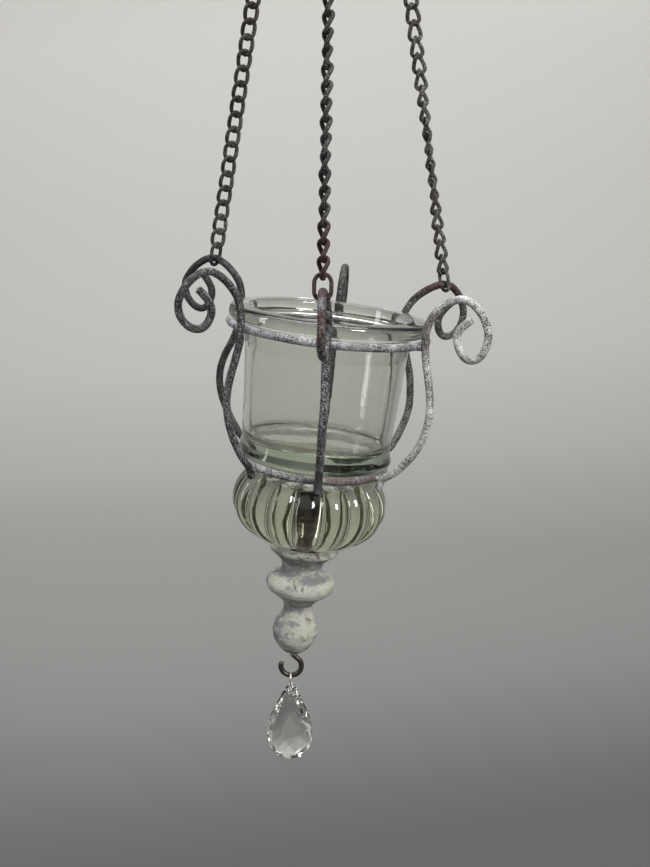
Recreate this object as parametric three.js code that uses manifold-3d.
// Hanging sanctuary lamp: a hand-bent wire cage on three curb chains, with a thick glass
// candle cup, a ribbed melon glass under it, a turned finial and a faceted drop.
// Millimetres, +Z up, front towards -Y. Origin: the hanging seat, the inside top of the S-hook.
// The cage hangs a few degrees out of true, so it and all that is fixed to it are laid out
// about the centre of the upper hoop inside one leaning group. Hook, ring, chains, jump ring
// and drop hang plumb. One outer group lowers the lot so that the hanging seat is at z = 0.
import * as THREE from 'three';
import { mergeVertices } from 'three/addons/utils/BufferGeometryUtils.js';
import { ConvexGeometry } from 'three/addons/geometries/ConvexGeometry.js';
import Module from 'manifold-3d';

const wasm = await Module();
wasm.setup();

// ---------------------------------------------------------------- driving dimensions
const DEG = Math.PI / 180;
const GAP = 0.3; // running and seating gap between separate pieces

// Cage, with the upper hoop at z = 0. Hoop radii are to the wire's centreline.
const WIRE_R = 1.65;
const UPPER_HOOP_R = 41.4;
const LOWER_HOOP_R = 30.2;
const LOWER_HOOP_Z = -57.5;
const CAGE_LEAN = Math.atan2(29.6, 351); // the cage's axis against the plumb line
const CAGE_SHIFT = [3.782, 0, -1.404];   // leaves the cage's weight under the ring

// Gathering ring
const RING_R = 11;
const RING_WIRE_R = 1.3;
const RING_BOTTOM_Z = 306; // centre of the ring's lowest wire
const RING_CENTRE_Z = RING_BOTTOM_Z + RING_R;

// S-hook
const HOOK_WIRE_R = 1.5;
const HOOK_TOP_BEND_R = 7;
const HOOK_LOW_BEND_R = 6;
const HOOK_BENDS_APART = 20;
const HOOK_FLAT_ANGLE = 78; // degrees; each bend has a level segment from here to 180 less this
const HOOK_SHANK = { topInset: 1.6, topDrop: 4.5, lowInset: 1.2, lowRise: 4.2 };

// Threaded pipe and the pieces bored for it
const ROD_R = 4.8;
const BORE_CLEARANCE = 0.4;

// Screw hook, jump ring and drop
const SCREW_HOOK_CURL_Z = -152.2;
const SCREW_HOOK_CURL_R = 4.6;
const SCREW_HOOK_WIRE_R = 1.2;
const JUMP_RING_R = 3.43;
const JUMP_RING_WIRE_R = 0.45;

// ---------------------------------------------------------------- groups and materials
const row = new THREE.Group();
const lamp = new THREE.Group();
const cage = new THREE.Group();
cage.rotation.y = CAGE_LEAN;
cage.position.set(...CAGE_SHIFT);
cage.updateMatrix();
row.add(lamp);
lamp.add(cage);

const FINISH = {
  iron: { color: 0x3b322c, roughness: 0.75, metalness: 0.55 },
  chain: { color: 0x33291f, roughness: 0.7, metalness: 0.6 },
  steel: { color: 0x55504a, roughness: 0.45, metalness: 0.8 },
  paleMetal: { color: 0xc9c4b6, roughness: 0.4, metalness: 0.7 },
  clearGlass: { color: 0xdfe6df, roughness: 0.06, metalness: 0 },
  greenGlass: { color: 0xb9c4b0, roughness: 0.06, metalness: 0 },
  crystal: { color: 0xf2f4f2, roughness: 0.03, metalness: 0 },
  paint: { color: 0xcfcabc, roughness: 0.8, metalness: 0 },
  wood: { color: 0x5b4030, roughness: 0.7, metalness: 0 },
  fibre: { color: 0x3a2e26, roughness: 0.9, metalness: 0 },
};

// ---------------------------------------------------------------- mesh helpers
// Swaps two corners of every triangle when the surface encloses a negative volume.
function faceOutwards(position) {
  const a = new THREE.Vector3();
  const b = new THREE.Vector3();
  const c = new THREE.Vector3();
  let volume = 0;
  for (let i = 0; i < position.count; i += 3) {
    a.fromBufferAttribute(position, i);
    b.fromBufferAttribute(position, i + 1);
    c.fromBufferAttribute(position, i + 2);
    volume += a.dot(b.clone().cross(c)) / 6;
  }
  if (volume >= 0) return;
  for (let i = 0; i < position.count; i += 3) {
    b.fromBufferAttribute(position, i + 1);
    c.fromBufferAttribute(position, i + 2);
    position.setXYZ(i + 1, c.x, c.y, c.z);
    position.setXYZ(i + 2, b.x, b.y, b.z);
  }
}

// A welded, outward-facing copy with positions and normals only.
function weld(geometry) {
  const loose = geometry.index ? geometry.toNonIndexed() : geometry;
  const { position } = loose.attributes;
  faceOutwards(position);
  const bare = new THREE.BufferGeometry();
  bare.setAttribute('position', position.clone());
  const merged = mergeVertices(bare, 1e-4);
  // drop the triangles that closed up to nothing at an axis
  const index = merged.index.array;
  const kept = [];
  for (let i = 0; i < index.length; i += 3) {
    const [a, b, c] = index.slice(i, i + 3);
    if (a !== b && b !== c && c !== a) kept.push(a, b, c);
  }
  merged.setIndex(kept);
  merged.computeVertexNormals();
  return merged;
}

function add(parent, name, geometry, finish) {
  const mesh = new THREE.Mesh(weld(geometry), new THREE.MeshStandardMaterial(finish));
  mesh.name = name;
  parent.add(mesh);
}

function toSolid(geometry) {
  const { attributes, index } = weld(geometry);
  return new wasm.Manifold(new wasm.Mesh({
    numProp: 3,
    vertProperties: new Float32Array(attributes.position.array),
    triVerts: new Uint32Array(index.array),
  }));
}

function toGeometry(solid) {
  const mesh = solid.getMesh();
  const position = new THREE.BufferAttribute(new Float32Array(mesh.vertProperties), 3);
  const geometry = new THREE.BufferGeometry();
  geometry.setAttribute('position', position);
  geometry.setIndex(new THREE.BufferAttribute(new Uint32Array(mesh.triVerts), 1));
  return geometry;
}

// ---------------------------------------------------------------- shape helpers
// A path that bends exactly at its given points, so a swept section stands on each one.
class BentPath extends THREE.Curve {
  constructor(points, closed) {
    super();
    this.points = points;
    this.closed = closed;
    this.steps = closed ? points.length : points.length - 1;
  }

  at(i) {
    const count = this.points.length;
    if (this.closed) return this.points[((i % count) + count) % count];
    return this.points[Math.min(Math.max(i, 0), count - 1)];
  }

  getPointAt(u, target = new THREE.Vector3()) {
    const place = u * this.steps;
    const i = Math.floor(place + 1e-9);
    return target.copy(this.at(i)).lerp(this.at(i + 1), Math.max(0, place - i));
  }

  getTangentAt(u, target = new THREE.Vector3()) {
    const i = Math.round(u * this.steps);
    const before = this.at(i).clone().sub(this.at(i - 1));
    const after = this.at(i + 1).clone().sub(this.at(i));
    if (before.lengthSq() > 0) before.normalize();
    if (after.lengthSq() > 0) after.normalize();
    return target.copy(before).add(after).normalize();
  }
}

function polygon(radius, sides, turn) {
  const corners = Array.from({ length: sides }, (_, i) => {
    const angle = turn + (i * 2 * Math.PI) / sides;
    return new THREE.Vector2(radius * Math.cos(angle), radius * Math.sin(angle));
  });
  return new THREE.Shape(corners);
}

// Open wire of six-sided section; turn rotates the section.
function bentWire(points, radius, turn = 0) {
  const path = new BentPath(points, false);
  return new THREE.ExtrudeGeometry(polygon(radius, 6, turn), {
    steps: path.steps,
    extrudePath: path,
    bevelEnabled: false,
  });
}

function closedWire(points, radius, sides) {
  return new THREE.TubeGeometry(new BentPath(points, true), points.length, radius, sides, true);
}

// Solid of revolution about Z from [radius, z] points.
function turned(profile, segments) {
  const points = profile.map(([r, z]) => new THREE.Vector2(r, z));
  return new THREE.LatheGeometry(points, segments).rotateX(Math.PI / 2);
}

function sleeve({ inner, outer, bottom, top, segments }) {
  const corners = [[inner, bottom], [outer, bottom], [outer, top], [inner, top], [inner, bottom]];
  return turned(corners, segments);
}

// Azimuth in degrees: 0 is the front, -Y; 90 is the right, +X.
function around(azimuth, r, z) {
  return new THREE.Vector3(r * Math.sin(azimuth * DEG), -r * Math.cos(azimuth * DEG), z);
}

// [across, z] points on a bend centred on the axis, at the given angles in degrees.
function bend(radius, centreZ, angles) {
  return angles.map((angle) => [
    radius * Math.cos(angle * DEG),
    centreZ + radius * Math.sin(angle * DEG),
  ]);
}

// ---------------------------------------------------------------- hanging hook and ring
const flatSine = Math.sin(HOOK_FLAT_ANGLE * DEG);
const hookLowWireZ = RING_BOTTOM_Z + 2 * RING_R - RING_WIRE_R - HOOK_WIRE_R - GAP;
const lowBendZ = hookLowWireZ + HOOK_LOW_BEND_R * flatSine;
const topBendZ = lowBendZ + HOOK_BENDS_APART;
// the bearing facet is the flat underside of the top bend's level segment
const SEAT_Z = topBendZ + (HOOK_TOP_BEND_R - HOOK_WIRE_R * Math.cos(30 * DEG)) * flatSine;

function addHangingHook() {
  const flat = [HOOK_FLAT_ANGLE, 180 - HOOK_FLAT_ANGLE];
  const topAngles = [-25, 5, 30, 55, ...flat, 125, 150, 175];
  const lowAngles = [0, -30, -55, -flat[0], -flat[1], -125, -150, -180, -205];
  const centreline = [
    ...bend(HOOK_TOP_BEND_R, topBendZ, topAngles),
    [-HOOK_TOP_BEND_R + HOOK_SHANK.topInset, topBendZ - HOOK_SHANK.topDrop],
    [HOOK_LOW_BEND_R - HOOK_SHANK.lowInset, lowBendZ + HOOK_SHANK.lowRise],
    ...bend(HOOK_LOW_BEND_R, lowBendZ, lowAngles),
  ].map(([y, z]) => new THREE.Vector3(0, y, z));
  add(lamp, 'hanging_hook', bentWire(centreline, HOOK_WIRE_R), FINISH.steel);
}

function addGatheringRing() {
  const ring = new THREE.TorusGeometry(RING_R, RING_WIRE_R, 6, 28)
    .rotateX(Math.PI / 2)
    .translate(0, 0, RING_CENTRE_Z);
  add(lamp, 'gathering_ring', ring, FINISH.steel);
}

addHangingHook();
addGatheringRing();

// ---------------------------------------------------------------- scroll arms and hoops
// Mean arm centreline, [radius, z], from the foot to the cut end inside the curl.
const MEAN_ARM = [
  [32.5, -61.6], [34.0, -57.4], [38, -52.3], [43, -43.5], [46.5, -35], [48.3, -27],
  [47.8, -19.5], [46.3, -12], [45.05, -4], [45.05, 3.5], [45.4, 8.5], [47, 13.5],
  [50.5, 17.8], [54.5, 20.6], [58, 21.6], [62.6, 20.4], [67.3, 16.6], [70.4, 11.5],
  [71.1, 7.2], [69.5, 2.6], [66, -0.6], [62, -1.4], [58.9, 0.6], [57.2, 4.6],
  [57.6, 8.2], [59.8, 11.2], [63, 14.2],
];
const SCROLL_TOP = 14;  // index in the mean arm of the point a chain's last link rides on
const BELLY_FIRST = 2;  // index in the mean arm of the first belly offset

// Each arm's own bend. Hand-bent arms differ by a few millimetres.
// azimuth: degrees from the front.
// offsets: radial, from the mean arm, at the waist, scroll top, scroll outside, scroll
//   underside and cut end.
// belly: further radial offsets at the seven bends from the foot up to the upper hoop.
// turn: degrees out of the arm's own plane at the foot, bulge, hoop, scroll top, scroll
//   outside, scroll underside and cut end.
const ARMS = {
  arm_front: {
    azimuth: 0,
    offsets: [0, 0, 0, 0, 0],
    turn: [5, 2.2, 0, -3.5, -1.8, -0.7, -0.7],
  },
  arm_front_right: {
    azimuth: 60,
    offsets: [0, 1, 0.5, 2.5, 0.5],
    belly: [2.0, 3.6, 3.5, 2.8, 2.55, 2.2, 1.2],
  },
  arm_rear_right: {
    azimuth: 120,
    offsets: [0, -2, -3, -2.5, -1.5],
    belly: [2.8, 2.8, 1.9, -0.3, -0.4, 0.2, 1.0],
    turn: [4, 5, 14, 0, 0, 0, 0],
  },
  arm_rear: {
    azimuth: 175.5,
    offsets: [0, 0, 0, 0, 0],
  },
  arm_rear_left: {
    azimuth: -120,
    offsets: [0, 3, 5, 4, 4],
    belly: [2.4, 4.7, 5.5, 4.6, 3.2, 1.2, 0.2],
  },
  arm_front_left: {
    azimuth: -60,
    offsets: [0, -1.5, -3, -3.5, -3],
    belly: [0.4, 0.9, 0.7, 0.2, 0, -0.2, -0.4],
    turn: [10, 10, 10, 1, 0, 0, 0],
  },
};

// [index in the mean arm, index in the values]; the offsets follow a leading zero.
const OFFSET_KEYS = [
  [0, 0], [2, 0], [5, 1], [8, 0], [10, 0], [SCROLL_TOP, 2], [18, 3], [21, 4], [26, 5],
];
const TURN_KEYS = [[0, 0], [5, 1], [9, 2], [SCROLL_TOP, 3], [18, 4], [21, 5], [26, 6]];

// Smooth-step between the keyed values on either side of point i.
function easeBetween(keys, values, i) {
  const next = Math.max(1, keys.findIndex(([index]) => i <= index));
  const [fromIndex, fromValue] = keys[next - 1];
  const [toIndex, toValue] = keys[next];
  const t = (i - fromIndex) / (toIndex - fromIndex);
  const eased = t * t * (3 - 2 * t);
  return values[fromValue] * (1 - eased) + values[toValue] * eased;
}

function armPoint({ azimuth, offsets, belly, turn }, i) {
  const [r, z] = MEAN_ARM[i];
  const turnHere = turn ? easeBetween(TURN_KEYS, turn, i) : 0;
  const bellyHere = belly?.[i - BELLY_FIRST] ?? 0;
  const offsetHere = easeBetween(OFFSET_KEYS, [0, ...offsets], i);
  return around(azimuth + turnHere, r + bellyHere + offsetHere, z);
}

function addArm(name, arm) {
  const centreline = MEAN_ARM.map((_, i) => armPoint(arm, i));
  add(cage, name, bentWire(centreline, WIRE_R, 30 * DEG), FINISH.iron);
}

function addHoop(name, radius, z, segments) {
  const hoop = new THREE.TorusGeometry(radius, WIRE_R, 6, segments).translate(0, 0, z);
  add(cage, name, hoop, FINISH.iron);
}

for (const [name, arm] of Object.entries(ARMS)) addArm(name, arm);
addHoop('upper_hoop', UPPER_HOOP_R, 0, 36);
addHoop('lower_hoop', LOWER_HOOP_R, LOWER_HOOP_Z, 30);

// ---------------------------------------------------------------- chains
// Links by their centreline; neck is the half width at the two ends.
const CURB_LINK = { length: 7.35, halfWidth: 2.42, neck: 1.45 };
const TOP_LINK = { length: 9.2, halfWidth: 2.85, neck: 1.9 };
const SCROLL_LINK = { length: 9.6, halfWidth: 3.15, neck: 2.1 };
const LINK_WIRE_R = 0.9;       // over the corners of the wire's section
const TOP_LINK_RISE = 2.75;    // upper bend above the ring wire's centre
const TOP_LINK_SPACING = 3.6;  // sideways spacing of the three top links on the ring
const SCROLL_LINK_DROP = 2.95; // lower bend below the scroll wire's centre
const LINK_PITCH = 6.4;        // spacing inside a run
const RUN_PITCH = 5.45;        // spacing where one run hands over to the next
const LINKS_PER_RUN = 11;
const RUNS = 4;
const LINK_TWIST = 45;         // degrees either way from a curb link's middle to its ends
const CHAIN_TOLERANCE = 0.12;  // the joined links' surface may be eased by this much

// side: the top link's place on the ring, in spacings to the right.
// lay: mean plane of the links, [share of the way from ring down to scroll, degrees from
//   facing the front].
const CHAINS = {
  front: {
    arm: ARMS.arm_front,
    side: 0,
    lay: [[0, 45], [0.3, 45], [0.46, 62], [0.54, 62], [0.68, 76], [0.92, 76], [1, 50]],
  },
  rear_right: {
    arm: ARMS.arm_rear_right,
    side: 1,
    lay: [
      [0, 45], [0.5, 5], [0.68, -40], [0.78, -80], [0.85, -84], [0.91, -50], [0.95, -50],
      [1, -75],
    ],
  },
  rear_left: {
    arm: ARMS.arm_rear_left,
    side: -1,
    lay: [[0, 45], [0.55, 0], [1, -15]],
  },
};

function layAt(table, share) {
  const next = Math.max(1, table.findIndex(([end]) => share <= end));
  const [fromShare, fromLay] = table[next - 1];
  const [toShare, toLay] = table[next];
  return fromLay + ((toLay - fromLay) * (share - fromShare)) / (toShare - fromShare);
}

// The straight line of a chain, with two directions square to it and to each other.
function chainLine(arm, side) {
  const x = side * TOP_LINK_SPACING;
  const top = new THREE.Vector3(x, 0, RING_CENTRE_Z - Math.sqrt(RING_R ** 2 - x ** 2));
  const down = armPoint(arm, SCROLL_TOP).applyMatrix4(cage.matrix).sub(top);
  const length = down.length();
  down.normalize();
  const sideways = new THREE.Vector3(1, 0, 0);
  sideways.addScaledVector(down, -sideways.dot(down)).normalize();
  const square = down.clone().cross(sideways);
  return { top, down, length, sideways, square };
}

// One link with its middle at a distance down the line; lay and twist in degrees.
function linkWire(line, middle, link, { lay, twist = 0, sides = 5 }) {
  const { length, halfWidth, neck } = link;
  const centre = line.top.clone().addScaledVector(line.down, middle);
  const outline = [ // [sideways, share of the length below the middle]
    [neck, -0.5], [halfWidth, 0], [neck, 0.5],
    [-neck, 0.5], [-halfWidth, 0], [-neck, -0.5],
  ];
  const points = outline.map(([across, share]) => {
    const angle = (lay + twist * 2 * share) * DEG;
    return centre.clone()
      .addScaledVector(line.down, share * length)
      .addScaledVector(line.sideways, across * Math.cos(angle))
      .addScaledVector(line.square, across * Math.sin(angle));
  });
  return closedWire(points, LINK_WIRE_R, sides);
}

// The top link straddles the ring wire, in the plane across it.
function addTopLink(chainName, line) {
  const middle = -TOP_LINK_RISE + TOP_LINK.length / 2;
  const link = linkWire(line, middle, TOP_LINK, { lay: 90 });
  add(lamp, `${chainName}_chain_top_link`, link, FINISH.chain);
}

// The last link straddles the scroll wire, across the arm's own plane.
function addScrollLink(chainName, line, arm) {
  const scrollAzimuth = arm.azimuth + (arm.turn ? arm.turn[3] : 0);
  const across = around(scrollAzimuth + 90, 1, 0).transformDirection(cage.matrix);
  const lay = Math.atan2(across.dot(line.square), across.dot(line.sideways)) / DEG;
  const middle = line.length + SCROLL_LINK_DROP - SCROLL_LINK.length / 2;
  const link = linkWire(line, middle, SCROLL_LINK, { lay });
  add(lamp, `${chainName}_chain_scroll_link`, link, FINISH.chain);
}

// Runs of twisted curb links, joined where they bear on each other. The pitches are
// stretched to fill the line between the top link and the scroll link.
function addRuns(chainName, line, layTable) {
  const overlap = CURB_LINK.length - RUN_PITCH;
  const start = -TOP_LINK_RISE + TOP_LINK.length - overlap;
  const end = line.length + SCROLL_LINK_DROP - SCROLL_LINK.length + overlap;
  const nominal = CURB_LINK.length + (RUNS - 1) * RUN_PITCH
    + (RUNS * LINKS_PER_RUN - RUNS) * LINK_PITCH;
  const stretch = (end - start - CURB_LINK.length) / (nominal - CURB_LINK.length);
  let middle = start + CURB_LINK.length / 2;
  for (let run = 1; run <= RUNS; run++) {
    let solid = null;
    for (let i = 0; i < LINKS_PER_RUN; i++) {
      const lay = layAt(layTable, middle / line.length);
      const wire = linkWire(line, middle, CURB_LINK, { lay, twist: LINK_TWIST, sides: 4 });
      const link = toSolid(wire);
      solid = solid ? solid.add(link) : link;
      middle += (i === LINKS_PER_RUN - 1 ? RUN_PITCH : LINK_PITCH) * stretch;
    }
    const joined = toGeometry(solid.simplify(CHAIN_TOLERANCE));
    add(lamp, `${chainName}_chain_run_${run}`, joined, FINISH.chain);
  }
}

for (const [name, { arm, side, lay }] of Object.entries(CHAINS)) {
  const line = chainLine(arm, side);
  addTopLink(name, line);
  addScrollLink(name, line, arm);
  addRuns(name, line, lay);
}

// ---------------------------------------------------------------- candle cup
const CUP_LIP_R = 42;
const CUP_FLOOR_Z = -47.3;
const CUP_BASE_Z = -55.3;

// [radius, z], up the outside, over the lip and down the inside
const CUP_PROFILE = [
  [0, CUP_BASE_Z], [30.8, CUP_BASE_Z], [32.5, -54.2], [32.5, -51.6], [31.8, -49],
  [34.6, -3], [35.2, 0.6], [37.2, 1.95], [40.6, 2.1], [CUP_LIP_R, 4.2], [CUP_LIP_R, 6],
  [39.6, 7.8], [35.0, 7.7], [33.5, 6.3], [32.4, 1], [31, -8], [29.4, -44],
  [27.2, CUP_FLOOR_Z], [0, CUP_FLOOR_Z],
];
add(cage, 'glass_cup', turned(CUP_PROFILE, 26), FINISH.clearGlass);

// ---------------------------------------------------------------- strap and rod
const STRAP_TOP = -57.1;
const STRAP_BOTTOM = -58.9;
const STRAP_WIDTH = 9;
const STRAP_END_TRIM = 0.35; // each end, beyond the gap to the lower hoop
const ROD_BOTTOM = -112;

function addCrossStrap() {
  const length = 2 * (LOWER_HOOP_R - WIRE_R - GAP - STRAP_END_TRIM);
  const strap = new THREE.BoxGeometry(length, STRAP_WIDTH, STRAP_TOP - STRAP_BOTTOM)
    .translate(0, 0, (STRAP_TOP + STRAP_BOTTOM) / 2);
  add(cage, 'cross_strap', strap, FINISH.iron);
}

function addTieRod() {
  const top = STRAP_BOTTOM - GAP;
  const rod = new THREE.CylinderGeometry(ROD_R, ROD_R, top - ROD_BOTTOM, 12)
    .rotateX(Math.PI / 2)
    .translate(0, 0, (top + ROD_BOTTOM) / 2);
  add(cage, 'tie_rod', rod, FINISH.steel);
}

addCrossStrap();
addTieRod();

// ---------------------------------------------------------------- melon glass
const MELON_LOBES = 16;
const MELON_GROOVE = 2.5;       // full depth of a groove
const MELON_GROOVE_FADE = 12;   // the groove deepens over this much radius from the foot
const MELON_FOOT_R = 12.5;
const MELON_FOOT_Z = -93.1;
const MELON_BORE_R = 5.6;       // the rod's clearance through the solid glass
const MELON_RECESS_R = 19.6;    // the plug's recess
const MELON_RECESS_Z = -67.9;

// Outer skin over the lobes, [radius, z], from the neck down.
const MELON_SKIN = [
  [MELON_RECESS_R, -60.4], [24, -61], [29.6, -65], [32.7, -71], [33.2, -75.5],
  [31.4, -82], [26.4, -88.2], [19, -91.8], [MELON_FOOT_R, MELON_FOOT_Z],
];

function addMelonGlass() {
  const profile = [
    ...MELON_SKIN,
    [MELON_BORE_R, MELON_FOOT_Z], [MELON_BORE_R, MELON_RECESS_Z],
    [MELON_RECESS_R, MELON_RECESS_Z], MELON_SKIN[0],
  ];
  const glass = turned(profile, MELON_LOBES * 3);
  const { position } = glass.attributes;
  for (let i = 0; i < position.count; i++) {
    const skinRow = i % profile.length;
    // the neck, foot, bore and recess stay round
    if (skinRow === 0 || skinRow >= MELON_SKIN.length - 1) continue;
    const x = position.getX(i);
    const y = position.getY(i);
    const r = Math.hypot(x, y);
    const lobe = Math.abs(Math.sin((Math.atan2(y, x) * MELON_LOBES) / 2));
    const depth = MELON_GROOVE * Math.min(1, (r - MELON_FOOT_R) / MELON_GROOVE_FADE);
    const scale = (r - depth * (1 - lobe)) / r;
    position.setXY(i, x * scale, y * scale);
  }
  glass.rotateZ(Math.PI / MELON_LOBES); // a lobe faces the front
  add(cage, 'melon_glass', glass, FINISH.greenGlass);
}

const ROD_BORE_R = ROD_R + BORE_CLEARANCE;
const PLUG = { inner: ROD_BORE_R, outer: 19, bottom: -67.5, top: -60.1, segments: 24 };
const WASHER = { inner: ROD_BORE_R, outer: 13, bottom: -94.2, top: -93.4, segments: 20 };

add(cage, 'melon_top_plug', sleeve(PLUG), FINISH.wood);
addMelonGlass();
add(cage, 'seat_washer', sleeve(WASHER), FINISH.fibre);

// ---------------------------------------------------------------- finial
const ROD_SOCKET_R = ROD_R + 0.35;
const ROD_SOCKET_Z = -112.4;  // blind end of the rod's socket
const SCREW_SOCKET_R = 1.6;
const SCREW_SOCKET_Z = -134;  // blind end of the screw hook's socket

// [radius, z], down the rod's socket, down the outside and up the screw hook's socket
const FINIAL_PROFILE = [
  [0, ROD_SOCKET_Z], [ROD_SOCKET_R, ROD_SOCKET_Z], [ROD_SOCKET_R, -94.5], [13.4, -94.5],
  [15, -95.6], [15, -97], [13.2, -98.3], [10.4, -101], [8.8, -104.4], [8.8, -106.6],
  [11.2, -108.5], [14.1, -110.6], [14.9, -112.8], [14, -115.3], [11.4, -117.6],
  [8.4, -119.9], [6.4, -122.6], [6.1, -124.6], [7.3, -127], [9.2, -130.8],
  [9.8, -134.8], [9.1, -138.8], [7, -142.3], [4.8, -144.2], [3.4, -144.8],
  [SCREW_SOCKET_R, -144.8], [SCREW_SOCKET_R, SCREW_SOCKET_Z], [0, SCREW_SOCKET_Z],
];
add(cage, 'turned_finial', turned(FINIAL_PROFILE, 18), FINISH.paint);

// ---------------------------------------------------------------- screw hook
const FERRULE = {
  inner: SCREW_HOOK_WIRE_R + BORE_CLEARANCE,
  outer: 2.8,
  bottom: -146.2,
  top: -145.1,
  segments: 12,
};
const SCREW_TOP_Z = -134.4;
const SCREW_SHANK_END_Z = -146.3;

function addScrewHook() {
  const lowest = -90 + CAGE_LEAN / DEG; // the curl's lowest place as the cage hangs
  const angles = [68, 44, 20, -5, -30, -55, lowest + 12, lowest - 12, -125, -150, -175, -195];
  const centreline = [
    [0, SCREW_TOP_Z],
    [0, SCREW_SHANK_END_Z],
    ...bend(SCREW_HOOK_CURL_R, SCREW_HOOK_CURL_Z, angles),
  ].map(([x, z]) => new THREE.Vector3(x, 0, z));
  add(cage, 'screw_hook', bentWire(centreline, SCREW_HOOK_WIRE_R), FINISH.steel);
}

add(cage, 'hook_ferrule', sleeve(FERRULE), FINISH.paleMetal);
addScrewHook();

// ---------------------------------------------------------------- jump ring and drop
// Both hang plumb from the lowest place of the curl.
const curl = new THREE.Vector3(0, 0, SCREW_HOOK_CURL_Z).applyMatrix4(cage.matrix);
const curlLowWireZ = curl.z - SCREW_HOOK_CURL_R;
const jumpRingTopZ = curlLowWireZ + SCREW_HOOK_WIRE_R + JUMP_RING_WIRE_R + GAP;

function addJumpRing() {
  const ring = new THREE.TorusGeometry(JUMP_RING_R, JUMP_RING_WIRE_R, 5, 16)
    .rotateY(Math.PI / 2)
    .translate(curl.x, 0, jumpRingTopZ - JUMP_RING_R);
  add(lamp, 'jump_ring', ring, FINISH.paleMetal);
}

const DROP_LENGTH = 38;
const DROP_HOLE_DEPTH = 2.26;  // hole's centre below the drop's top
const DROP_HOLE_R = 1.05;
const DROP_HOLE_SETTING = 0.25; // hole's centre below the jump ring's lowest wire centre
// Outlines of the flat faces: [half width, distance below the drop's top].
const DROP_OUTLINES = [
  { // thin outer edge
    halfDepth: 0.9,
    stations: [
      [1.2, 0], [7.5, 13.4], [9.3, 17.9], [10.1, 22.4], [10.25, 26.9], [9.8, 30.5],
      [6.9, 35.2], [0, DROP_LENGTH],
    ],
  },
  { // flat facets at front and back
    halfDepth: 4.6,
    stations: [[0, 9], [3.6, 14.5], [5.4, 21.5], [5.5, 27.4], [3.2, 31.4], [0, 32.8]],
  },
];

function addCrystalDrop() {
  const holeZ = jumpRingTopZ - 2 * JUMP_RING_R - DROP_HOLE_SETTING;
  const topZ = holeZ + DROP_HOLE_DEPTH;
  const corners = [];
  for (const { halfDepth, stations } of DROP_OUTLINES) {
    for (const [halfWidth, below] of stations) {
      for (const x of [curl.x - halfWidth, curl.x + halfWidth]) {
        for (const y of [-halfDepth, halfDepth]) {
          corners.push(new THREE.Vector3(x, y, topZ - below));
        }
      }
    }
  }
  const hole = new THREE.CylinderGeometry(DROP_HOLE_R, DROP_HOLE_R, 16, 10)
    .translate(curl.x, 0, holeZ);
  const drop = toSolid(new ConvexGeometry(corners)).subtract(toSolid(hole));
  add(lamp, 'crystal_drop', toGeometry(drop), FINISH.crystal);
}

addJumpRing();
addCrystalDrop();

// ---------------------------------------------------------------- placed on its seat
lamp.position.z = -SEAT_Z;
export default row;
